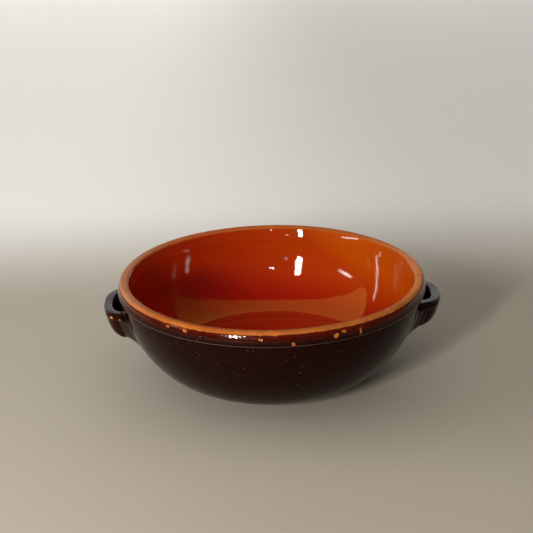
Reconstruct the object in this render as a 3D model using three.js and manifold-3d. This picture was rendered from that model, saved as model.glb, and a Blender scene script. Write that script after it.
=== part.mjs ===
// Glazed earthenware bowl with two ear handles. Millimetres, +Z up.
// The origin is the middle of the foot, on the surface that the bowl stands on.
// The handles lie on the X axis, the left one at -X and the right one at +X, and the front is -Y.
import * as THREE from 'three';
import { mergeVertices } from 'three/addons/utils/BufferGeometryUtils.js';
import Module from 'manifold-3d';

// Bowl, in bare clay
const HEIGHT = 87;
const COLLAR_DIAMETER = 258.4; // at the collar's fullest
const COLLAR_DEPTH = 12.3; // from the top of the lip to the wall under the collar
const COLLAR_FULLEST = 6.5; // from the top of the lip
const COLLAR_OVERHANG = 2.5; // from the wall under the collar to its fullest
const COLLAR_STEP = 0.9; // the step under the collar, out and down alike
const LIP_WIDTH = 8;
const LIP_INSET = 0.4; // from the collar's fullest to the lip's outer edge
const LIP_CROWN = 4.8; // from the lip's inner edge to its highest ring
const LIP_INNER_DROP = 1.2;
const LIP_OUTER_DROP = 2;
const FLARE = 3.4; // how far the inside opens out to the lip
const FLARE_DEPTH = 8;
const FLOOR_DIAMETER = 156; // the level part inside
const FLOOR_HEIGHT = 12; // inside, above the table
const FOOT_DIAMETER = 130;
const FOOT_RING_WIDTH = 13;
const FOOT_RECESS = 2.5;
const BELLY_DROP_POWER = 1.66; // how late the wall turns in as it comes down
const BELLY_SIDE_POWER = 1.93; // how round it comes in to the foot

// Glaze coats
const GLAZE_THICKNESS = 0.5;
const BARE_FOOT_HEIGHT = 3; // the outer coat stops at this height above the table

// Ear handles
const HANDLE_LENGTH = 60; // along the wall, outside the strap
const FINGER_GAP = 9.3; // from the glazed wall to the strap, at the strap's top
const STRAP_THICKNESS = 7.6;
const STRAP_HEIGHT = 21;
const STRAP_LEAN = 5; // how far the strap's lower edge leans in towards the wall
const STRAP_BELOW_COLLAR = 10.3;
const STRAP_TOP_POWER = 7; // the pared top's edges: 2 would be an ellipse, larger is squarer
const STRAP_FOOT_POWER = 2.6; // the rounder lower edges
const ARCH_POWER = 2.5; // the same for the strap's bend in plan

// Luting: soft clay thumbed over each strap end and drawn down the wall
const LUTING_WIDTH = 9.5; // along the wall, outside the strap
const LUTING_END_WIDTH = 5; // along the wall, from the strap's middle line
const LUTING_RISE = 7; // at the strap's middle line
const LUTING_EDGE = 0.6;
const LUTING_ABOVE = 2.5;
const LUTING_BELOW = 9;
const THUMB_RIDGES = 3;
const THUMB_RIDGE_RISE = 0.45;

// Between pieces that were made apart
const CLEARANCE = 0.3;

// Facets
const TURN_STEPS = 52;
const BELLY_STEPS = 9;
const FOOT_CURVE_STEPS = 2;
const COLLAR_STEPS = 2;
const LIP_STEPS = 2;
const STRAP_STEPS = 16;
const STRAP_SIDES = 16;
const LUTING_RINGS = 8;
const LUTING_COLUMNS = 10;

const clay = new THREE.MeshStandardMaterial({ color: 0xc27a4c, roughness: 0.85 });
const clearGlaze = new THREE.MeshStandardMaterial({ color: 0xa5400f, roughness: 0.12 });
const darkGlaze = new THREE.MeshStandardMaterial({ color: 0x26110b, roughness: 0.25 });

const wasm = await Module();
wasm.setup();

// A closed geometry as a solid that can be joined and cut.
function toSolid(geometry) {
  const bare = geometry.clone();
  bare.deleteAttribute('normal');
  bare.deleteAttribute('uv');
  const merged = mergeVertices(bare);
  return new wasm.Manifold(new wasm.Mesh({
    numProp: 3,
    vertProperties: merged.getAttribute('position').array,
    triVerts: new Uint32Array(merged.index.array),
  }));
}

function toGeometry(solid) {
  const { vertProperties, triVerts } = solid.getMesh();
  const geometry = new THREE.BufferGeometry();
  geometry.setAttribute('position', new THREE.BufferAttribute(vertProperties, 3));
  geometry.setIndex(new THREE.BufferAttribute(triVerts, 1));
  geometry.computeVertexNormals();
  return geometry;
}

// Turns an outline of (radius, height) points about the Z axis.
function turn(outline) {
  return new THREE.LatheGeometry(outline, TURN_STEPS).rotateX(Math.PI / 2);
}

// A closed skin over a row of rings with the same count of points, capped at both ends.
// Each ring runs clockwise for someone who looks along the row.
function loft(rings) {
  const around = rings[0].length;
  const last = around * (rings.length - 1);
  const index = [];
  const quad = (a, b, c, d) => index.push(a, b, c, a, c, d);
  for (let start = 0; start < last; start += around) {
    for (let j = 0; j < around; j++) {
      const here = start + j;
      const next = start + ((j + 1) % around);
      quad(here, here + around, next + around, next);
    }
  }
  for (let j = 0; j + 1 < around / 2; j++) {
    const across = around - 1 - j;
    quad(j, j + 1, across - 1, across);
    quad(last + across, last + across - 1, last + j + 1, last + j);
  }
  const geometry = new THREE.BufferGeometry().setFromPoints(rings.flat());
  geometry.setIndex(index);
  geometry.computeVertexNormals();
  return geometry;
}

// For each point of an outline, the unit vector to the right of the outline's direction.
function rightHand(outline) {
  return outline.map((point, i) => {
    const before = outline[Math.max(i - 1, 0)];
    const after = outline[Math.min(i + 1, outline.length - 1)];
    const along = after.clone().sub(before).normalize();
    return new THREE.Vector2(along.y, -along.x);
  });
}

function moveRight(outline, distance) {
  const right = rightHand(outline);
  return outline.map((point, i) => point.clone().addScaledVector(right[i], distance));
}

// Cosine and sine raised to a power with their sign kept, for ellipses that are more or less square.
function squaredCircle(angle, power) {
  const squared = (value) => Math.sign(value) * Math.abs(value) ** (2 / power);
  return new THREE.Vector2(squared(Math.cos(angle)), squared(Math.sin(angle)));
}

// The bowl's outline, as (radius, height) points

const collarRadius = COLLAR_DIAMETER / 2;
const footRadius = FOOT_DIAMETER / 2;
const wallTop = new THREE.Vector2(collarRadius - COLLAR_OVERHANG, HEIGHT - COLLAR_DEPTH);
const wallFoot = new THREE.Vector2(footRadius, 0);
const lipOuter = new THREE.Vector2(collarRadius - LIP_INSET, HEIGHT - LIP_OUTER_DROP);
const lipInner = new THREE.Vector2(lipOuter.x - LIP_WIDTH, HEIGHT - LIP_INNER_DROP);
const throat = new THREE.Vector2(lipInner.x - FLARE, lipInner.y - FLARE_DEPTH);
const floorEdge = new THREE.Vector2(FLOOR_DIAMETER / 2, FLOOR_HEIGHT);

// A rounded wall from its top to its level foot or floor is a quarter of an oval:
// (in / whole in) ** BELLY_SIDE_POWER + (down / whole down) ** BELLY_DROP_POWER = 1,
// with in measured from the foot's radius and down from the wall's top.
function belly(top, foot, fromAngle, toAngle, steps) {
  return Array.from({ length: steps + 1 }, (_, i) => {
    const angle = THREE.MathUtils.lerp(fromAngle, toAngle, i / steps);
    const side = Math.cos(angle) ** (2 / BELLY_SIDE_POWER);
    const drop = Math.sin(angle) ** (2 / BELLY_DROP_POWER);
    return new THREE.Vector2(
      THREE.MathUtils.lerp(foot.x, top.x, side),
      THREE.MathUtils.lerp(top.y, foot.y, drop),
    );
  });
}

function wallRadius(z) {
  const drop = (wallTop.y - z) / (wallTop.y - wallFoot.y);
  const side = (1 - drop ** BELLY_DROP_POWER) ** (1 / BELLY_SIDE_POWER);
  return THREE.MathUtils.lerp(wallFoot.x, wallTop.x, side);
}

const quarter = Math.PI / 2;
const bareFootDrop = (wallTop.y - BARE_FOOT_HEIGHT) / (wallTop.y - wallFoot.y);
const bareFootAngle = Math.asin(bareFootDrop ** (BELLY_DROP_POWER / 2));

const underside = [
  new THREE.Vector2(0, FOOT_RECESS),
  new THREE.Vector2(footRadius - FOOT_RING_WIDTH - FOOT_RECESS, FOOT_RECESS),
  new THREE.Vector2(footRadius - FOOT_RING_WIDTH, 0),
];
const footCurve = belly(wallTop, wallFoot, quarter, bareFootAngle, FOOT_CURVE_STEPS);
const wall = belly(wallTop, wallFoot, bareFootAngle, 0, BELLY_STEPS);
const collarFoot = wallTop.clone().addScalar(COLLAR_STEP);
const fullest = HEIGHT - COLLAR_FULLEST;
const collar = new THREE.Path()
  .absellipse(
    collarFoot.x, fullest, collarRadius - collarFoot.x, fullest - collarFoot.y, -quarter, 0)
  .absellipse(lipOuter.x, fullest, LIP_INSET, lipOuter.y - fullest, 0, quarter)
  .getPoints(COLLAR_STEPS);
const lip = new THREE.Path()
  .absellipse(lipInner.x + LIP_CROWN, lipOuter.y, LIP_WIDTH - LIP_CROWN, LIP_OUTER_DROP, 0, quarter)
  .absellipse(lipInner.x + LIP_CROWN, lipInner.y, LIP_CROWN, LIP_INNER_DROP, quarter, Math.PI)
  .getPoints(LIP_STEPS);
const lining = [
  lipInner,
  ...belly(throat, floorEdge, 0, quarter, BELLY_STEPS),
  new THREE.Vector2(0, FLOOR_HEIGHT),
];
const glazedOutside = [...wall, ...collar];

// The coat between two copies of an outline, set off from the clay it covers.
function coat(outline) {
  const skin = moveRight(outline, CLEARANCE + GLAZE_THICKNESS);
  const seat = moveRight(outline, CLEARANCE);
  return { skin, seat };
}

function makeBowlBody() {
  return turn([
    ...underside,
    ...footCurve,
    ...wall.slice(1),
    ...collar,
    ...lip.slice(1, -1),
    ...lining,
  ]);
}

function makeInnerGlaze() {
  const { skin, seat } = coat(lining);
  return turn([...seat.reverse(), ...skin]);
}

// The outer coat has a window at each luted joint, where the clay was joined before glazing.
function makeOuterGlaze(joints) {
  const { skin, seat } = coat(glazedOutside);
  const ring = turn([...skin, ...seat.reverse(), skin[0]]);
  return toGeometry(joints.reduce((shell, joint) => shell.subtract(joint), toSolid(ring)));
}

// A handle's pieces are made at +X

const strapTop = wallTop.y - STRAP_BELOW_COLLAR;
const strapMiddle = strapTop - STRAP_HEIGHT / 2;
const archRoot = wallRadius(strapMiddle);
const glazedWallAtTop = wallRadius(strapTop) + CLEARANCE + GLAZE_THICKNESS;
const archDepth = glazedWallAtTop + FINGER_GAP + STRAP_THICKNESS / 2 - archRoot;
const archHalfLength = (HANDLE_LENGTH - STRAP_THICKNESS) / 2;
const legRoot = Math.sqrt(wallRadius(strapTop - STRAP_HEIGHT) ** 2 - HANDLE_LENGTH ** 2 / 4)
  - STRAP_THICKNESS;

// The strap's middle line in plan, from the front to the back: a squarish arch on two straight legs
// that run into the wall.
function strapPlan() {
  const arch = Array.from({ length: STRAP_STEPS + 1 }, (_, i) => {
    const bend = squaredCircle((i / STRAP_STEPS - 0.5) * Math.PI, ARCH_POWER);
    return new THREE.Vector2(archRoot + archDepth * bend.x, archHalfLength * bend.y);
  });
  return [
    new THREE.Vector2(legRoot, -archHalfLength),
    ...arch,
    new THREE.Vector2(legRoot, archHalfLength),
  ];
}

// The strap is one section carried along the plan. It leans in with the wall, its top is pared flat and
// its lower edge is left round.
function strapLoft(grow) {
  const plan = strapPlan();
  const right = rightHand(plan);
  const section = Array.from({ length: STRAP_SIDES }, (_, j) => {
    const angle = ((j + 0.5) / STRAP_SIDES) * 2 * Math.PI;
    const corner = squaredCircle(angle, angle < Math.PI ? STRAP_TOP_POWER : STRAP_FOOT_POWER);
    const rise = corner.y * (STRAP_HEIGHT / 2 + grow);
    const lean = STRAP_LEAN * (0.5 - rise / STRAP_HEIGHT);
    return { out: corner.x * (STRAP_THICKNESS / 2 + grow) - lean, z: strapMiddle + rise };
  });
  return loft(plan.map((point, i) => section.map(({ out, z }) => {
    const side = point.clone().addScaledVector(right[i], out);
    return new THREE.Vector3(side.x, side.y, z);
  })));
}

function makeStrap() {
  const seat = [...footCurve, ...moveRight(wall, CLEARANCE)];
  const core = [new THREE.Vector2(0, 0), ...seat, new THREE.Vector2(0, wallTop.y)];
  return toGeometry(toSolid(strapLoft(0)).subtract(toSolid(turn(core))));
}

// A pad starts under the strap's middle line and thins out along the wall, up and down.
// end is -1 for the front of the strap and 1 for its back, and depth is how far the pad goes into
// the wall behind its seat.
function lutingLoft(end, grow, depth) {
  const low = strapTop - STRAP_HEIGHT - LUTING_BELOW - grow;
  const high = strapTop + LUTING_ABOVE + grow;
  const startAngle = Math.asin(archHalfLength / archRoot) - grow / archRoot;
  const fullWidth = STRAP_THICKNESS / 2 + LUTING_WIDTH;
  const rings = Array.from({ length: LUTING_RINGS }, (_, i) => {
    const up = i / (LUTING_RINGS - 1);
    const z = THREE.MathUtils.lerp(low, high, up);
    const seat = wallRadius(z) + CLEARANCE;
    const swell = 1 - Math.abs(2 * up - 1) ** 3;
    const width = THREE.MathUtils.lerp(LUTING_END_WIDTH, fullWidth, swell) + 2 * grow;
    const place = (across, rise) => {
      const angle = end * (startAngle + (width / archRoot) * across);
      const radius = seat + rise;
      return new THREE.Vector3(radius * Math.cos(angle), radius * Math.sin(angle), z);
    };
    const columns = Array.from({ length: LUTING_COLUMNS }, (_, j) => j / (LUTING_COLUMNS - 1));
    const skin = columns.map((across) => {
      const ridges = THUMB_RIDGE_RISE * Math.sin(across * THUMB_RIDGES * Math.PI) ** 2;
      const fillet = LUTING_RISE * (1 - across) ** 2 + ridges;
      return place(across, LUTING_EDGE + grow + fillet * swell);
    });
    const back = columns.map((across) => place(across, -depth)).reverse();
    const ring = [...skin, ...back];
    return end < 0 ? ring : ring.reverse();
  });
  return loft(rings);
}

function makeLuting(end) {
  return toGeometry(toSolid(lutingLoft(end, 0, 0)).subtract(toSolid(strapLoft(CLEARANCE))));
}

// What a handle takes out of the outer coat, right through it.
function makeJoint(turned) {
  const pieces = [
    strapLoft(CLEARANCE),
    lutingLoft(-1, CLEARANCE, STRAP_THICKNESS),
    lutingLoft(1, CLEARANCE, STRAP_THICKNESS),
  ];
  return pieces
    .map((piece) => toSolid(piece.rotateZ(turned)))
    .reduce((joined, piece) => joined.add(piece));
}

function addMesh(group, name, geometry, material) {
  const mesh = new THREE.Mesh(geometry, material);
  mesh.name = name;
  group.add(mesh);
}

const sides = [
  { name: 'left', turned: Math.PI },
  { name: 'right', turned: 0 },
];
const strap = makeStrap();
const lutings = [-1, 1].map((end) => ({ end, geometry: makeLuting(end) }));

const bowl = new THREE.Group();
addMesh(bowl, 'bowl_body', makeBowlBody(), clay);
addMesh(bowl, 'inner_glaze', makeInnerGlaze(), clearGlaze);
addMesh(bowl, 'outer_glaze', makeOuterGlaze(sides.map((side) => makeJoint(side.turned))), darkGlaze);
for (const side of sides) {
  const handle = new THREE.Group();
  handle.rotation.z = side.turned;
  addMesh(handle, `handle_${side.name}`, strap, darkGlaze);
  for (const { end, geometry } of lutings) {
    const facesFront = end * Math.cos(side.turned) < 0;
    addMesh(handle, `${side.name}_${facesFront ? 'front' : 'back'}_luting`, geometry, darkGlaze);
  }
  bowl.add(handle);
}

export default bowl;
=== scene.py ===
"""The looks of a glazed earthenware bowl with two ear handles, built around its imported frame.

Metres, +Z up. The handles lie on the X axis and the front of the bowl is -Y.
"""

import bpy
import numpy as np
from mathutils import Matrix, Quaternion, Vector


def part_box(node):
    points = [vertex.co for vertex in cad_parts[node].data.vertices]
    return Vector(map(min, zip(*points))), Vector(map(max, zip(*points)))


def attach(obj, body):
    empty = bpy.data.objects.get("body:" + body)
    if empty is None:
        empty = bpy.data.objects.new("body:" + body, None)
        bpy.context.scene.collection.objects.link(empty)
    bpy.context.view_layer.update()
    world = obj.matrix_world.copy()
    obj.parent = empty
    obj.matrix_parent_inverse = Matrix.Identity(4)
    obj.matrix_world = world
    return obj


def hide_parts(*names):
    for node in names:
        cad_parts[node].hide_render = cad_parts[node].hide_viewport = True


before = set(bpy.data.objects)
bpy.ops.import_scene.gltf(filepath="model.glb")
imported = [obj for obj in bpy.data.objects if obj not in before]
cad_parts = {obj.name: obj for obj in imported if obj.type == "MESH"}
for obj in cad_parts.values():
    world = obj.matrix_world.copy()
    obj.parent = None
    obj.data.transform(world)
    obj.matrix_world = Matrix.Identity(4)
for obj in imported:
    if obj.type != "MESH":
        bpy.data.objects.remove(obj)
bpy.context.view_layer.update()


# Clay bowl
# One piece of red earthenware, shaped on the wheel, with a rolled collar under a broad lip and a turned
# foot. It is fired to terracotta, and the bare clay shows on the lip, on the foot and in the chips.
body_low, body_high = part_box("bowl_body")
bowl_height = body_high.z
collar_radius = (body_high.x - body_low.x) / 2
collar_drop = 0.0085
collar_overhang = 0.0025
collar_depth = 0.0123
collar_step = 0.0009
lip_width = 0.008
lip_inset = 0.0004
lip_outer_drop = 0.002
lip_inner_drop = 0.0012
lip_crown_inset = 0.0036
shoulder_power = 1.55
flare = 0.0027
flare_depth = 0.008
floor_radius = 0.078
floor_height = 0.0135
foot_radius = 0.065
foot_ring_width = 0.013
foot_recess = 0.0025
foot_edge = 0.002
fan_radius = 0.002
drop_power = 1.66
side_power = 1.93
outline_steps = 14
sag_open = 0.0080
sag_waves = ((1, 0.0042, 0.0), (2, 0.0014, 0.7), (3, 0.0006, 2.2), (7, 0.0003, 0.0))
rim_waves = ((2, 0.00022, 2.6), (5, 0.00010, 0.4))

wall_top = (collar_radius - collar_overhang, bowl_height - collar_depth)
wall_foot = (foot_radius, 0.0)
collar_foot = (wall_top[0] + collar_step, wall_top[1] + collar_step)
collar_fullest = bowl_height - collar_drop
lip_crown_radius = collar_radius - lip_crown_inset
lip_outer = (collar_radius - lip_inset, bowl_height - lip_outer_drop)
lip_inner = (lip_outer[0] - lip_width, bowl_height - lip_inner_drop)
throat = (lip_inner[0] - flare, lip_inner[1] - flare_depth)
floor_edge = (floor_radius, floor_height)


def oval_arc(centre, radii, start, end, steps):
    """(radius, height) points on an oval: centre + radii * (cos, sin), from start to end in degrees."""
    angle = np.radians(np.linspace(start, end, steps))
    return np.stack([centre[0] + radii[0] * np.cos(angle), centre[1] + radii[1] * np.sin(angle)], axis=1)


def quarter_oval(top, foot, steps):
    """A wall from its top to its level foot: (in / all) ** side_power + (down / all) ** drop_power = 1."""
    angle = np.linspace(0, np.pi / 2, steps)
    side = np.cos(angle) ** (2 / side_power)
    drop = np.sin(angle) ** (2 / drop_power)
    return np.stack([foot[0] + (top[0] - foot[0]) * side, top[1] + (foot[1] - top[1]) * drop], axis=1)


def soft_corner(start, corner, end, steps):
    """A curve from start to end that leans to the corner: (1-t)^2 start + 2t(1-t) corner + t^2 end."""
    t = np.linspace(0, 1, steps)[:, None]
    return (1 - t) ** 2 * np.array(start) + 2 * t * (1 - t) * np.array(corner) + t ** 2 * np.array(end)


def squared_circle(angle, power):
    """Cosine and sine to the power 2 / power with their sign kept: an oval that is more or less square."""
    wave = np.stack([np.cos(angle), np.sin(angle)])
    return np.sign(wave) * np.abs(wave) ** (2 / power)


def outside_of(steps):
    """The clay's outside from the foot up the wall and the collar to the lip's crown."""
    wall = quarter_oval(wall_top, wall_foot, 3 * steps)[::-1]
    under = oval_arc((collar_foot[0], collar_fullest),
                     (collar_radius - collar_foot[0], collar_fullest - collar_foot[1]), -90, 0, steps)
    shoulder = squared_circle(np.linspace(0, np.pi / 2, 2 * steps), shoulder_power).T
    shoulder = shoulder * (collar_radius - lip_crown_radius, bowl_height - collar_fullest)
    return np.concatenate([wall, under, shoulder[1:] + (lip_crown_radius, collar_fullest)])


def inside_of(steps):
    """The clay's inside from the lip's crown over its soft edge, the flare and the wall to the floor."""
    edge = (lip_inner[0] + flare / flare_depth * lip_inner_drop, bowl_height)
    lip = soft_corner((lip_crown_radius, bowl_height), edge, lip_inner, steps)
    wall = quarter_oval(throat, floor_edge, 4 * steps)
    eased = soft_corner(lip_inner, throat, wall[steps // 4], 2 * steps)
    floor = np.linspace(floor_edge, (fan_radius, floor_height), steps)
    return np.concatenate([lip[1:], eased[1:], wall[steps // 4 + 1:], floor[1:]])


def turn(radius, height, angle):
    """Points (r cos a, r sin a, z) over rows of (r, z) and columns of a."""
    return np.stack([radius * np.cos(angle), radius * np.sin(angle), height + 0 * angle], axis=2)


def waves_about(angle, waves):
    """The sum of size * cos(count * angle + phase) over waves of (count, size, phase)."""
    return sum(size * np.cos(count * angle + phase) for count, size, phase in waves)


def settle(points):
    """The bowl sags a little open and out of round in the kiln.

    A point goes out by its radius times (sag_open + sag_waves), and up by rim_waves, both times the square
    of its share of the height.
    """
    angle = np.arctan2(points[..., 1], points[..., 0])
    share = (points[..., 2] / bowl_height) ** 2
    out = sag_open + waves_about(angle, sag_waves)
    moved = points.copy()
    moved[..., :2] *= (1 + out * share)[..., None]
    moved[..., 2] += waves_about(angle, rim_waves) * share
    return moved


def round_the_bowl(steps):
    """Angles about Z, once round."""
    return np.linspace(0, 2 * np.pi, steps, endpoint=False)


def add_piece(name, rows, material, nodes, capped, coat=None):
    """A closed skin over rows of rings, turned outwards. Capped ends get a fan, or the ends join up.

    coat is how thick the glaze lies at each point, from 0 for bare to 1 for full.
    """
    count, around = rows.shape[:2]
    points = rows.reshape(-1, 3)
    here = np.arange(count * around).reshape(count, around)
    if not capped:
        here = np.vstack([here, here[:1]])
    beside = np.roll(here, -1, axis=1)
    faces = np.stack([here[:-1], beside[:-1], beside[1:], here[1:]], axis=2).reshape(-1, 4).tolist()
    values = None if coat is None else coat.ravel()
    if capped:
        first = np.full(around, len(points))
        faces += np.stack([beside[0], here[0], first], axis=1).tolist()
        faces += np.stack([here[-1], beside[-1], first + 1], axis=1).tolist()
        points = np.vstack([points, rows[0].mean(axis=0), rows[-1].mean(axis=0)])
        values = None if coat is None else np.append(values, [coat[0].mean(), coat[-1].mean()])
    corners = [points[[face[k] for face in faces]] for k in (0, 1, 2, -1)]
    volume = sum((corners[0] * np.cross(corners[k], corners[k + 1])).sum() for k in (1, 2))
    if volume < 0:
        faces = [face[::-1] for face in faces]
    mesh = bpy.data.meshes.new(name)
    mesh.from_pydata(points.tolist(), [], faces)
    mesh.polygons.foreach_set("use_smooth", np.ones(len(faces), bool))
    if values is not None:
        mesh.attributes.new("coat", "FLOAT", "POINT").data.foreach_set("value", values.astype(np.float32))
    mesh.materials.append(material)
    piece = bpy.data.objects.new(name, mesh)
    bpy.context.scene.collection.objects.link(piece)
    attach(piece, "root")
    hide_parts(*nodes)


class Shade:
    """A socket in a material: arithmetic on it adds Math nodes, and node() adds any other node."""

    def __init__(self, tree, socket=None):
        self.tree = tree
        self.socket = socket

    def node(self, kind, settings, sockets, output=0):
        """Adds a node, sets it up, and then fills or links its sockets.

        The setting stops holds a ramp's places and colours.
        """
        made = self.tree.nodes.new(kind)
        for name, value in settings.items():
            if name != "stops":
                setattr(made, name, value)
        for index, (place, colour) in enumerate(settings.get("stops", ())):
            stops = made.color_ramp.elements
            stop = stops[index] if index < 2 else stops.new(place)
            stop.position = place
            stop.color = (*colour, 1)
        for name, value in sockets.items():
            socket = next(s for s in made.inputs if name in (s.identifier, s.name))
            if isinstance(value, Shade):
                self.tree.links.new(value.socket, socket)
            else:
                socket.default_value = value
        return Shade(self.tree, made.outputs[output] if len(made.outputs) else None)

    def math(self, operation, first, second):
        """A Math node on two values."""
        return self.node("ShaderNodeMath", {"operation": operation}, {"Value": first, "Value_001": second})

    def __add__(self, other):
        return self.math("ADD", self, other)

    def __radd__(self, other):
        return self.math("ADD", other, self)

    def __sub__(self, other):
        return self.math("SUBTRACT", self, other)

    def __rsub__(self, other):
        return self.math("SUBTRACT", other, self)

    def __mul__(self, other):
        return self.math("MULTIPLY", self, other)

    def __rmul__(self, other):
        return self.math("MULTIPLY", other, self)


def new_material(name):
    """An empty material and its Object coordinates."""
    material = bpy.data.materials.new(name)
    material.use_nodes = True
    material.node_tree.nodes.clear()
    place = Shade(material.node_tree).node("ShaderNodeTexCoord", {}, {}, "Object")
    return material, place


def noise(place, scale, detail):
    """Soft noise from 0 to 1, with scale waves to the metre and detail finer layers."""
    return place.node("ShaderNodeTexNoise", {}, {"Vector": place, "Scale": scale, "Detail": detail})


def rise_over(value, low, high):
    """0 up to low, 1 from high on, and a smooth step between."""
    return value.node("ShaderNodeMapRange", {"interpolation_type": "SMOOTHSTEP"},
                      {"Value": value, "From Min": low, "From Max": high})


def blend(share, first, second):
    """The first colour where share is 0, the second where it is 1, and a mix between."""
    return share.node("ShaderNodeMix", {"data_type": "RGBA"},
                      {"Factor_Float": share, "A_Color": first, "B_Color": second}, 2)


def from_axis(place):
    """How far a point lies from the Z axis."""
    flat = place.node("ShaderNodeVectorMath", {"operation": "MULTIPLY"},
                      {"Vector": place, "Vector_001": (1, 1, 0)})
    return flat.node("ShaderNodeVectorMath", {"operation": "LENGTH"}, {"Vector": flat}, "Value")


def add_surface(colour, roughness, height, depth, constants):
    """The material's shader, with a bump of that depth in metres for each unit of height."""
    normal = colour.node("ShaderNodeBump", {}, {"Strength": 1, "Distance": depth, "Height": height})
    sockets = {"Base Color": colour, "Roughness": roughness, "Normal": normal, **constants}
    shader = colour.node("ShaderNodeBsdfPrincipled", {}, sockets)
    shader.node("ShaderNodeOutputMaterial", {}, {"Surface": shader})


def axis_part(place, axis):
    """One coordinate of a place."""
    return place.node("ShaderNodeSeparateXYZ", {}, {"Vector": place}, axis)


def bare_clay():
    """Fired terracotta: orange with paler and browner patches, sandy, and soiled towards the inside edge.

    Glaze has soaked into the lip at the back, and away from the front the lip holds painted light: a grey
    painted sheen on the left and a brighter orange on the right.
    """
    material, place = new_material("bare terracotta")
    along, back = axis_part(place, "X"), axis_part(place, "Y")
    patches = rise_over(noise(place, 90, 5), 0.38, 0.66)
    colour = blend(patches, (0.44, 0.112, 0.013, 1), (0.58, 0.168, 0.025, 1))
    inset = collar_radius - from_axis(place) - 0.006 * noise(place, 260, 3)
    colour = blend(0.6 * rise_over(inset, -0.002, 0.003), colour, (0.44, 0.085, 0.016, 1))
    # Away from the front the lip colour is painted light: paler and greyer on the left as a painted sheen,
    # and brighter orange on the right where the lamps leave it dark.
    side_sheen_share = rise_over(back, -0.095, -0.035)
    side_sheen_and_light = blend(rise_over(along, -0.06, 0.06), (0.64, 0.28, 0.15, 1), (0.76, 0.265, 0.085, 1))
    colour = blend(0.85 * side_sheen_share, colour, side_sheen_and_light)
    soaked = rise_over(back, 0.03, 0.105)
    colour = blend(0.85 * soaked, colour, (0.53, 0.095, 0.006, 1))
    sand = noise(place, 1100, 3)
    colour = blend(0.6 * rise_over(sand, 0.52, 0.75), colour, (0.28, 0.075, 0.02, 1))
    pores = rise_over(noise(place, 330, 3), 0.50, 0.66)
    colour = blend(0.4 * pores, colour, (0.36, 0.12, 0.045, 1))
    edge = rise_over(bowl_height - axis_part(place, "Z"), 0.0018, 0.0025) * (1 - side_sheen_share)
    colour = blend(edge, colour, (0.50, 0.145, 0.015, 1))
    height = noise(place, 420, 4) + 0.5 * sand
    add_surface(colour, 0.82 + 0.12 * sand, height, 0.00025, {"IOR": 1.45, "Specular IOR Level": 0.2})
    return material


body_turn = round_the_bowl(400)
recess_radius = foot_radius - foot_ring_width
underside = np.concatenate([
    np.linspace((fan_radius, foot_recess), (recess_radius - 2 * foot_recess, foot_recess), 12),
    soft_corner((recess_radius - 1.6 * foot_recess, foot_recess),
                (recess_radius - foot_recess, foot_recess), (recess_radius, 0), 8),
    np.linspace((recess_radius + foot_edge, 0), (foot_radius - foot_edge, 0), 4),
])
body_outline = np.concatenate([underside, outside_of(outline_steps), inside_of(outline_steps)])
body_rows = settle(turn(body_outline[:, :1], body_outline[:, 1:], body_turn))
add_piece("clay_bowl", body_rows, bare_clay(), ["bowl_body"], capped=True)


# Ear handles
# A flat strap of the same clay stands on edge and is bent into a loop on each side of the bowl, below the
# collar. Its top is pared flat, a groove runs under its outer edge, and it is glazed with the wall.
strap_low, strap_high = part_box("handle_right")
strap_top = strap_high.z
strap_height = strap_top - strap_low.z
strap_middle = (strap_top + strap_low.z) / 2
strap_lean = 0.005
strap_top_power = 9
strap_foot_power = 2.6
arch_power = 2.5
handle_length = strap_high.y - strap_low.y
strap_stations = 200
strap_around = 96
groove_depth = 0.0012
groove_height = 0.0062
groove_from = 0.10
groove_fade = 0.12
root_depth = 0.0055
root_swell = 0.004
root_fullness = 0.5
foot_sweep = 0.004
sweep_from = 0.25
sweep_fade = 0.5
sweep_power = 1.5
hand_unevenness = 0.00025
coat_thickness = 0.0005
strap_coat = 0.9
crest_wear = 0.12
crest_width = 0.0012
# How much darker the glaze colour is painted in the groove: painted shade.
groove_painted_shade = 0.5
chip_span = 0.018
chip_height = 0.0009
chip_edge = 3
# chips are (share along the strap, height over its middle), and pad_chips (u, v) on its front pad.
handles = {
    "left": {"turned": np.pi - 0.011, "length": handle_length + 0.005, "lift": 0.0006, "gap": 0.0091,
             "thickness": 0.0081, "chips": [(0.809, 0.0057)], "pad_chips": [(0.26, 0.933)]},
    "right": {"turned": 0.0, "length": handle_length - 0.001, "lift": 0.0012, "gap": 0.0099,
              "thickness": 0.0088, "chips": [], "pad_chips": []},
}


def wall_radius(z):
    """The clay wall's radius at a height, from quarter_oval's formula."""
    drop = np.clip((wall_top[1] - z) / wall_top[1], 0, 1)
    return foot_radius + (wall_top[0] - foot_radius) * (1 - drop ** drop_power) ** (1 / side_power)


def evenly_along(line, count):
    """That many points at even steps along a line of points."""
    walked = np.append(0, np.cumsum(np.hypot(*np.diff(line, axis=0).T)))
    along = np.linspace(0, walked[-1], count)
    return np.stack([np.interp(along, walked, line[:, k]) for k in (0, 1)], axis=1)


def turned_about_z(points, angle):
    """Points turned by an angle about Z."""
    x, y = points[..., 0], points[..., 1]
    turned = [x * np.cos(angle) - y * np.sin(angle), x * np.sin(angle) + y * np.cos(angle), points[..., 2]]
    return np.stack(turned, axis=-1)


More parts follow.
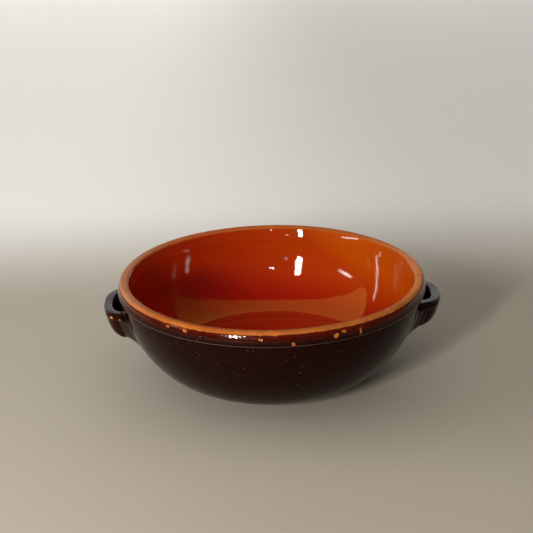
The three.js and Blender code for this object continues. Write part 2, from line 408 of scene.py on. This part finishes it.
def strap_rows(length, lift, gap, thickness):
    """A section carried along a squarish arch on two legs that swell into the wall.

    The section leans in with the wall, and its ends follow the wall's slope. Its top is nearly square, its
    foot is round and sweeps down to the wall, and near both ends a groove runs just under its outer edge.
    """
    reach = wall_radius(strap_top) + coat_thickness + gap + thickness / 2
    root = wall_radius(strap_middle)
    half_length = (length - thickness) / 2
    bow = squared_circle(np.linspace(-np.pi / 2, np.pi / 2, 400), arch_power)
    leg = np.linspace(root - root_depth, root, 20)[:, None]
    front = np.hstack([leg, np.full_like(leg, -half_length)])[:-1]
    arch = np.stack([root + (reach - root) * bow[0], half_length * bow[1]], axis=1)
    path = evenly_along(np.concatenate([front, arch, (front * (1, -1))[::-1]]), strap_stations)
    step = np.gradient(path, axis=0)
    step /= np.hypot(step[:, :1], step[:, 1:])
    outward = np.stack([step[:, 1], -step[:, 0]], axis=1)
    away = np.hypot(path[:, 0], path[:, 1]) - root
    swell = np.exp(-(np.clip(away, 0, None) / root_swell) ** 2)[:, None]
    share = np.linspace(0, 1, strap_stations)[:, None]
    angle = np.linspace(0, 2 * np.pi, 4000)
    power = np.where(angle < np.pi, strap_top_power, strap_foot_power)
    section = squared_circle(angle, power).T * (thickness, strap_height)
    section = (evenly_along(section, strap_around + 1)[:-1] / (thickness, strap_height)).T
    hand = hand_unevenness * np.cos(9 * share + 1.3) * np.cos(2 * np.pi * share)
    to_wall = np.clip((np.abs(2 * share - 1) - sweep_from) / sweep_fade, 0, 1) ** sweep_power
    rise = section[1] * (strap_height / 2 + hand + foot_sweep * to_wall * (section[1] < 0))
    above = np.clip(rise - strap_height / 2 + groove_height, 0, None) / groove_height
    to_ends = np.clip((np.abs(share - 0.5) - groove_from) / groove_fade, 0, 1)
    groove = np.sin(np.pi * above ** 2) * to_ends * (section[0] > 0)
    out = section[0] * (thickness / 2 * (1 + root_fullness * swell) + hand)
    out = out - strap_lean * (0.5 - rise / strap_height) - groove_depth * groove
    z = strap_middle + lift + rise
    flat = path[:, None, :] + outward[:, None, :] * out[..., None]
    flat[..., 0] += swell * (wall_radius(z) - root)
    return np.concatenate([flat, z[..., None]], axis=2), share, rise, groove


def dark_glaze():
    """Dark brown glaze: black where it lies thick, red-brown where it thins, and gone in the chips.

    It has pinholes, lumps where it is thin, and a worn line along the foot of the collar. Times 1 makes one
    number of a cell's colour, which picks the few cells that hold a pinhole.
    """
    material, place = new_material("dark glaze")
    coat = place.node("ShaderNodeAttribute", {"attribute_name": "coat"}, {}, "Fac")
    mottle = noise(place, 190, 4)
    fine = noise(place, 800, 3)
    thin = 1 - rise_over(coat, 0.55, 0.95)
    depth = coat + (0.2 + 0.3 * thin) * (mottle - 0.5) + 0.2 * (fine - 0.5)
    colour = depth.node("ShaderNodeValToRGB", {"stops": [
        (0.0, (0.42, 0.13, 0.02)), (0.2, (0.17, 0.016, 0.003)), (0.5, (0.11, 0.006, 0.002)),
        (0.8, (0.032, 0.0032, 0.001)), (1.0, (0.010, 0.0011, 0.0005))]}, {"Fac": depth})
    pinhole = 0.0
    for scale, share, radius in ((200, 0.59, 0.10), (350, 0.64, 0.12)):
        cell = {"Vector": place, "Scale": scale}
        to_seed = place.node("ShaderNodeTexVoronoi", {}, cell, "Distance")
        picked = place.node("ShaderNodeTexVoronoi", {}, cell, "Color") * 1
        speck = rise_over(picked, share, share + 0.02) * (1 - rise_over(to_seed, 0.5 * radius, radius))
        pinhole = pinhole + speck
    colour = blend(0.5 * pinhole, colour, (0.36, 0.28, 0.23, 1))
    over_wall = axis_part(place, "Z") - wall_top[1] + 0.0004 * (mottle - 0.5)
    worn = rise_over(over_wall, -0.0003, 0.0003) * (1 - rise_over(over_wall, 0.0010, 0.0017))
    colour = blend(0.8 * worn, colour, (0.19, 0.085, 0.065, 1))
    bare = 1 - rise_over(coat + 0.06 * (fine - 0.5), 0.03, 0.07)
    colour = blend(bare, colour, (0.72, 0.33, 0.06, 1))
    roughness = 0.06 + 0.07 * rise_over(noise(place, 45, 3), 0.35, 0.75) + 0.65 * bare
    peel = (0.1 + 1.1 * thin) * noise(place, 520, 2) + thin * noise(place, 300, 2)
    height = peel + 0.3 * noise(place, 90, 2) - 0.5 * pinhole
    gloss = 0.6 * thin * (1 - bare)
    add_surface(colour, roughness, height, 0.00016, {
        "IOR": 1.5, "Specular IOR Level": 0.10, "Coat Weight": gloss, "Coat Roughness": 0.09})
    return material


dark_finish = dark_glaze()
for side, handle in handles.items():
    rows, share, rise, groove = strap_rows(handle["length"], handle["lift"], handle["gap"],
                                           handle["thickness"])
    crest = strap_height / 2 - groove_height
    near_crest = np.exp(-((rise - crest) / crest_width) ** 2)
    # The glaze in the groove is painted near black: painted shade under the strap's top edge.
    coat = strap_coat - crest_wear * near_crest + groove_painted_shade * groove
    for chip_share, chip_rise in handle["chips"]:
        off = np.hypot((share - chip_share) / chip_span, (rise - chip_rise) / chip_height)
        coat = np.minimum(coat, np.clip(chip_edge * (off - 1), 0, 1))
    rows = settle(turned_about_z(rows, handle["turned"]))
    add_piece(f"strap_{side}", rows, dark_finish, [f"handle_{side}"], capped=True, coat=coat)


# Luting pads
# Soft clay is thumbed over each end of a strap and drawn down the wall, so each pad is a ramp with ridges
# that the thumb left. It joins strap and wall and is fired and glazed with them.
pad_above = -0.0022
pad_below = 0.0125
pad_width = 0.014
pad_rise = 0.0088
pad_power = 1.6
pad_tuck = 0.0035
pad_start = 0.15
pad_shoulder = 0.05
pad_run_out = 0.5
pad_back_depth = 0.003
pad_coat = 0.95
pad_rings = 80
pad_columns = 72
pad_v = np.linspace(0, 1, pad_rings)[:, None]
pad_u = np.linspace(0, 1, pad_columns)
thumb_marks = {"left": (1.0, 0.0004), "right": (3.0, 0.0018)}
pad_chip_width = 0.046
pad_chip_height = 0.024


def pad_rows(length, thickness, ridges, ridge_rise, end):
    """A ramp on the wall, u along it and v up it: rise = swell (pad_rise (1-u)^pad_power + (1-u) ridge).

    ridge = ridge_rise |sin(ridges pi u)|. swell starts round inside the strap, has a round shoulder at the
    top and runs out softly down the wall. end is -1 for the front of the strap and 1 for its back.
    """
    z = strap_top - strap_height - pad_below + pad_v * (strap_height + pad_below + pad_above)
    shoulder = np.clip((1 - pad_v) / pad_shoulder, 0, 1)
    run_out = np.clip(pad_v / pad_run_out, 0, 1)
    begun = np.clip(pad_u / pad_start, 0, 1)
    swell = np.sqrt(shoulder * (2 - shoulder) * begun * (2 - begun)) * run_out ** 2 * (3 - 2 * run_out)
    root = wall_radius(strap_middle)
    start = (length - thickness) / 2 - pad_tuck
    angle = end * (np.arcsin(start / root) + (pad_tuck + thickness / 2 + pad_width) / root * pad_u)
    ridge = ridge_rise * np.abs(np.sin(ridges * np.pi * pad_u))
    rise = coat_thickness + swell * (pad_rise * (1 - pad_u) ** pad_power + (1 - pad_u) * ridge)
    skin = turn(wall_radius(z) + rise, z, angle)
    back = turn(wall_radius(z) - pad_back_depth + 0 * pad_u, z, angle)[:, ::-1]
    return np.concatenate([skin, back], axis=1)


for side, handle in handles.items():
    for place_name, end in (("front", -1), ("back", 1)):
        own_end = end if side == "right" else -end
        rows = pad_rows(handle["length"], handle["thickness"], *thumb_marks[side], own_end)
        rows = settle(turned_about_z(rows, handle["turned"]))
        coat = np.full(rows.shape[:2], pad_coat)
        for chip_u, chip_v in handle["pad_chips"] if place_name == "front" else []:
            off = np.hypot((pad_u - chip_u) / pad_chip_width, (pad_v - chip_v) / pad_chip_height)
            chipped = np.clip(chip_edge * (off - 1), 0, 1)
            coat[:, :pad_columns] = np.minimum(coat[:, :pad_columns], chipped)
        add_piece(f"pad_{side}_{place_name}", rows, dark_finish,
                  [f"{side}_{place_name}_luting"], capped=True, coat=coat)


# Clear lining
# A clear lead-free glaze is poured inside and swirled round up to the lip, where it ends in a wandering
# line. It is glass over red clay, so it looks wet, and its orange deepens to red in the shade.
lining_thickness = 0.0006
lining_overlap = 0.0003
lining_wander = 0.0006
lining_stop = 0.00015
lining_steps = 18
lining_seat_step = 6
coat_sunk = 0.0006
coat_tuck = 0.00006
coat_edge_slope = 0.4


def outward_normals(outline, side):
    """Unit vectors square to an outline of (radius, height) points, to its right for 1 and left for -1."""
    step = np.gradient(outline, axis=0)
    step /= np.hypot(step[:, :1], step[:, 1:])
    return side * np.stack([step[:, 1], -step[:, 0]], axis=1)


def wander(angle, seed, waves, size):
    """A wandering line round the bowl: cosines with drawn phases, weaker as they get finer, up to size."""
    draw = np.random.default_rng(seed)
    count = np.arange(2, waves)[:, None]
    phase = draw.uniform(0, 2 * np.pi, count.shape)
    strength = draw.normal(size=count.shape) / count ** 0.6
    line = (strength * np.cos(count * angle + phase)).sum(axis=0)
    return size * line / np.abs(line).max()


def walked_from(outline, start):
    """How far along an outline its points lie from the point nearest to start."""
    walked = np.append(0, np.cumsum(np.hypot(*np.diff(outline, axis=0).T)))
    nearest = np.argmin(np.hypot(outline[:, 0] - start[0], outline[:, 1] - start[1]))
    return (walked - walked[nearest])[:, None]


def glaze_over(outline, side, coat, full, seat_step, angle):
    """Rows of a coat's skin, the outline moved square to itself by coat, and of its seat in the clay.

    The seat is the outline sunk by coat_sunk, taken backwards with one row to seat_step points. The second
    result is each point's share of the full coat, which is 0 on the seat.
    """
    normal = outward_normals(outline, side)
    skin = [outline[:, k:k + 1] + normal[:, k:k + 1] * coat for k in (0, 1)]
    seat = [(outline[:, k:k + 1] - normal[:, k:k + 1] * coat_sunk)[::-seat_step] for k in (0, 1)]
    rows = np.concatenate([turn(*skin, angle), turn(*seat, angle)])
    share = np.zeros(rows.shape[:2])
    share[:len(outline)] = coat / full
    return rows, share


def clear_lining():
    """Clear glass over red clay, red where it pooled at the floor, painted orange on the lit right and red
    on the shaded left.
    """
    material, place = new_material("clear glaze")
    along = axis_part(place, "X")
    over_floor = axis_part(place, "Z") - floor_height
    cloud = 0.04 * (noise(place, 28, 4) - 0.5)
    # thin is painted light and shade across the bowl: orange to the right, lit by the window, and red to
    # the left in its shade. Its rise up the wall is partly thinner glaze and partly painted light on the
    # upper wall.
    thin = 0.7 * rise_over(along, -0.10, 0.11) + 0.34 * rise_over(over_floor, 0.0015, 0.0745) + cloud
    colour = thin.node("ShaderNodeValToRGB", {"stops": [
        (0.0, (0.28, 0.005, 0.0015)), (0.18, (0.25, 0.005, 0.0015)), (0.32, (0.38, 0.020, 0.0012)),
        (0.56, (0.425, 0.033, 0.0012)), (0.83, (0.445, 0.044, 0.0014)), (0.95, (0.53, 0.079, 0.0018)),
    ]}, {"Fac": thin})
    pooled = 1 - rise_over(over_floor, 0.001, 0.0365)
    colour = blend(0.9 * pooled, colour, (0.42, 0.006, 0.0015, 1))
    speck = rise_over(noise(place, 500, 2), 0.70, 0.78)
    colour = blend(0.35 * speck, colour, (0.30, 0.020, 0.002, 1))
    coat = place.node("ShaderNodeAttribute", {"attribute_name": "coat"}, {}, "Fac")
    edge = 1 - rise_over(coat, 0.1, 0.95)
    colour = blend(0.85 * edge, colour, (0.46, 0.12, 0.014, 1))
    roughness = 0.02 + 0.02 * noise(place, 60, 3) + 0.6 * edge
    height = noise(place, 42, 2) + 0.08 * noise(place, 420, 2) + 0.05 * noise(place, 1100, 1)
    add_surface(colour, roughness, height, 0.00022, {"IOR": 1.5})
    return material


lining_turn = round_the_bowl(480)
inside = inside_of(lining_steps)[::-1]
inside = inside[inside[:, 1] < bowl_height - lining_stop]
lining_line = lining_overlap + wander(lining_turn, seed=5, waves=60, size=lining_wander)
room = lining_line - walked_from(inside, lip_inner)
lining_coat = np.clip(coat_edge_slope * room, -coat_tuck, lining_thickness)
lining_rows, lining_share = glaze_over(inside, -1, lining_coat, lining_thickness, lining_seat_step,
                                       lining_turn)
add_piece("clear_lining", settle(lining_rows), clear_lining(), ["inner_glaze"], capped=True,
          coat=lining_share)


# Dark coat
# The outside is dipped in dark glaze from just above the foot to the edge of the lip. It is thin and red on
# the collar, thick and nearly black on the wall, and use has chipped it along the collar.
collar_coat = 0.00028
collar_fade_from = 0.0015
collar_fade = 0.007
coat_start = 0.001
coat_seat_step = 4
crown_points = 6
foot_line = 0.0022
foot_wander = 0.0008
lip_overlap = 0.0005
lip_wander = 0.0005
left_bare_width = 0.0008
left_bare_power = 4
edge_bead = 0.0003
edge_bead_place = 0.0005
edge_bead_width = 0.00045
peel_depth = 0.00003
peel_lengths = (0.0022, 0.0045)
peel_waves = 40
chip_slope = 0.8
chip_lobes = 0.14
chip_points = 0.12
# Each chip's bearing from the front in degrees, its height, and half its width and height.
chips = [
    (-40.2, 0.0824, 0.0013, 0.0008), (-32.9, 0.0825, 0.0019, 0.0012), (-5.9, 0.0819, 0.0012, 0.0007),
    (5.1, 0.0774, 0.0012, 0.0013), (19.9, 0.0802, 0.0019, 0.0015), (22.8, 0.0823, 0.0014, 0.0010),
    (29.2, 0.0798, 0.00045, 0.0022), (-5.6, 0.0852, 0.0022, 0.0006), (-1.4, 0.0851, 0.0024, 0.0008),
    (74.0, 0.0815, 0.0015, 0.0010), (118.0, 0.0830, 0.0020, 0.0012), (-152.0, 0.0805, 0.0013, 0.0011),
    (171.0, 0.0848, 0.0024, 0.0008), (-108.0, 0.0826, 0.0011, 0.0008),
]


def orange_peel(angle, walk, seed):
    """Lumps on thin glaze: waves of drawn lengths, headings and phases, summed to about 1 each way."""
    draw = np.random.default_rng(seed)
    lumps = 0 * angle * walk
    for length in draw.uniform(*peel_lengths, peel_waves):
        heading, phase = draw.uniform(0, 2 * np.pi, 2)
        count = np.rint(2 * np.pi * collar_radius / length * np.cos(heading))
        lumps = lumps + np.cos(count * angle + 2 * np.pi / length * np.sin(heading) * walk + phase)
    return lumps * np.sqrt(2 / peel_waves)


coat_turn = round_the_bowl(1040)
front_bearing = np.degrees(np.arctan2(np.cos(coat_turn), -np.sin(coat_turn)))
outside = outside_of(outline_steps)
outside = outside[outside[:, 1] > coat_start][:-crown_points]
edge_walk = walked_from(outside, lip_outer)
foot_walk = edge_walk - edge_walk[0]
left_bare = left_bare_width * np.clip(-np.cos(coat_turn), 0, 1) ** left_bare_power
room = lip_overlap - left_bare + wander(coat_turn, seed=11, waves=160, size=lip_wander) - edge_walk
room = np.minimum(room, foot_walk - foot_line - wander(coat_turn, seed=23, waves=50, size=foot_wander))
for number, (bearing, height, half_width, half_height) in enumerate(chips):
    aside = (front_bearing - bearing + 180) % 360 - 180
    across = np.radians(aside) * collar_radius / half_width
    upward = (outside[:, 1:] - height) / half_height
    turned = np.arctan2(upward, across)
    ragged = 1 + waves_about(turned, ((2, chip_lobes, bearing), (3 + number % 4, chip_points, bearing)))
    chip_room = (np.hypot(across, upward) * ragged - 1) * min(half_width, half_height)
    room = np.minimum(room, chip_room)
up_collar = outside[:, 1:] - collar_foot[1]
on_collar = np.clip((up_collar - collar_fade_from) / collar_fade, 0, 1)
full_coat = coat_thickness + (collar_coat - coat_thickness) * on_collar
full_coat = full_coat + edge_bead * np.exp(-((up_collar - edge_bead_place) / edge_bead_width) ** 2)
full_coat = full_coat + peel_depth * on_collar * orange_peel(coat_turn, edge_walk, seed=31)
outer_coat = np.clip(chip_slope * room, -coat_tuck, full_coat)
coat_rows, coat_share = glaze_over(outside, 1, outer_coat, coat_thickness, coat_seat_step, coat_turn)
add_piece("dark_coat", settle(coat_rows), dark_finish, ["outer_glaze"], capped=False,
          coat=coat_share)


# Stage
# A plain floor that is paler behind the bowl, with painted light that makes it paler to the left and a
# painted shadow of the bowl to its right, soft lamps, a ceiling that only shows in reflections, a faint
# light all round, and the camera.
floor_half = 9.0
shade_middle = (0.15, 0.06, 0)
floor_mesh = bpy.data.meshes.new("floor")
floor_corners = [(x * floor_half, y * floor_half, 0) for x, y in ((-1, -1), (1, -1), (1, 1), (-1, 1))]
floor_mesh.from_pydata(floor_corners, [], [range(len(floor_corners))])
floor_material, floor_place = new_material("floor")
# to_right makes the floor and the glow behind it paler to the left and darker to the right: painted light
# from the window side.
to_right = rise_over(axis_part(floor_place, "X"), -0.3, 0.3)
near_colour = blend(to_right, (0.62, 0.565, 0.485, 1), (0.52, 0.465, 0.39, 1))
from_shade = floor_place.node("ShaderNodeVectorMath", {"operation": "SUBTRACT"},
                              {"Vector": floor_place, "Vector_001": shade_middle})
# in_shade darkens the floor around shade_middle, right of and behind the bowl: a painted shadow of the
# bowl.
in_shade = 1 - rise_over(from_axis(from_shade), 0.13, 0.28)
near_colour = blend(in_shade, near_colour, (0.42, 0.375, 0.31, 1))
behind = rise_over(axis_part(floor_place, "Y"), 0.14, 0.5)
floor_colour = blend(behind, near_colour, (0.75, 0.74, 0.72, 1))
seen = floor_place.node("ShaderNodeLightPath", {}, {}, "Is Camera Ray")
for kind in ("Glossy", "Transmission"):
    seen = seen + floor_place.node("ShaderNodeLightPath", {}, {}, f"Is {kind} Ray")
glow = blend(to_right, (0.38, 0.37, 0.35, 1), (0.15, 0.145, 0.135, 1))
glow = blend(behind * seen, (0, 0, 0, 1), glow)
add_surface(floor_colour, 0.7 + 0.1 * noise(floor_place, 30, 3), noise(floor_place, 150, 3), 0.0001,
            {"Emission Color": glow, "Emission Strength": 1})
floor_mesh.materials.append(floor_material)
floor = bpy.data.objects.new("floor", floor_mesh)
bpy.context.scene.collection.objects.link(floor)

bowl_middle = Vector((0, 0, bowl_height / 2))


def add_softbox(name, bearing, elevation, distance, size, radiance, tint, unseen_by=()):
    """A flat lamp that faces the bowl, with an energy of radiance * pi * area.

    bearing and elevation are in degrees, bearing from the front to the left. unseen_by names the kinds of
    ray, diffuse or glossy, that pass it by.
    """
    lamp = bpy.data.lights.new(name, "AREA")
    lamp.shape = "RECTANGLE"
    lamp.size, lamp.size_y = size
    lamp.energy = radiance * np.pi * size[0] * size[1]
    lamp.color = tint
    side, up = np.radians(bearing), np.radians(elevation)
    away = Vector((-np.sin(side) * np.cos(up), -np.cos(side) * np.cos(up), np.sin(up)))
    box = bpy.data.objects.new(name, lamp)
    box.location = bowl_middle + distance * away
    box.rotation_mode = "QUATERNION"
    box.rotation_quaternion = (-away).to_track_quat("-Z", "Y")
    for kind in ("camera", *unseen_by):
        setattr(box, f"visible_{kind}", False)
    bpy.context.scene.collection.objects.link(box)


add_softbox("window", 28.3, 19.5, 1.5, (0.064, 0.43), 200, (1.0, 0.96, 0.90))
add_softbox("side_window", 73, 14, 4.0, (1.05, 0.045), 36, (1.0, 0.94, 0.85))
add_softbox("far_lamp", 2.7, 22, 6.0, (0.35, 0.05), 100, (1.0, 0.95, 0.85))
add_softbox("small_lamp", 15.5, 12.5, 6.0, (0.12, 0.16), 15, (0.92, 0.94, 1.0))
add_softbox("room", 180, 84.3, 3.4, (25.0, 4.8), 0.43, (1.0, 0.97, 0.92), ("glossy",))
add_softbox("backdrop", 180, 17, 4.0, (5.0, 2.2), 1.2, (1.0, 0.99, 0.97))

ceiling_plan = [(-12.5, 0.9), (-12.5, 2.73), (12.5, 2.73), (12.5, 1.1), (3.0, -1.4), (-4.5, -0.85)]
ceiling_height = 3.51
ceiling_slope = 0.1
warm_from = -6.0
warm_span = 14.0
ceiling_corners = [(x, y, ceiling_height - ceiling_slope * y) for x, y in ceiling_plan]
ceiling_mesh = bpy.data.meshes.new("ceiling")
ceiling_mesh.from_pydata(ceiling_corners, [], [range(len(ceiling_plan))])
ceiling_material, ceiling_place = new_material("ceiling")
from_left = (axis_part(ceiling_place, "X") - warm_from) * (1 / warm_span)
warm = from_left.node("ShaderNodeValToRGB", {"stops": [
    (0.14, (0.95, 0.63, 0.11)), (0.39, (0.77, 0.51, 0.087)), (0.51, (0.49, 0.33, 0.055)),
    (0.66, (0.33, 0.22, 0.037)), (1.0, (0.17, 0.113, 0.019)),
]}, {"Fac": from_left})
warm = blend(ceiling_place.node("ShaderNodeLightPath", {}, {}, "Is Glossy Ray"), (0, 0, 0, 1), warm)
lit = warm.node("ShaderNodeEmission", {}, {"Color": warm, "Strength": 1.5})
lit.node("ShaderNodeOutputMaterial", {}, {"Surface": lit})
ceiling_mesh.materials.append(ceiling_material)
ceiling = bpy.data.objects.new("ceiling", ceiling_mesh)
ceiling.visible_camera = False
ceiling.visible_diffuse = False
ceiling.visible_shadow = False
bpy.context.scene.collection.objects.link(ceiling)

world = bpy.data.worlds.new("room")
world.use_nodes = True
room_light = world.node_tree.nodes["Background"]
room_light.inputs["Color"].default_value = (1.0, 0.95, 0.88, 1)
room_light.inputs["Strength"].default_value = 0.04
bpy.context.scene.world = world
bpy.context.scene.view_settings.view_transform = "Standard"

eye = Vector((-0.0291, -0.8760, 0.4185))
aim = Vector((-0.0035, 0.0, 0.0920))
camera_roll = np.radians(-1.24)
image_width = 533
focal_pixels = 1100
camera_data = bpy.data.cameras.new("camera")
camera_data.lens = camera_data.sensor_width * focal_pixels / image_width
camera = bpy.data.objects.new("camera", camera_data)
camera.location = eye
camera.rotation_mode = "QUATERNION"
camera.rotation_quaternion = (aim - eye).to_track_quat("-Z", "Y") @ Quaternion((0, 0, 1), camera_roll)
bpy.context.scene.collection.objects.link(camera)
bpy.context.scene.camera = camera
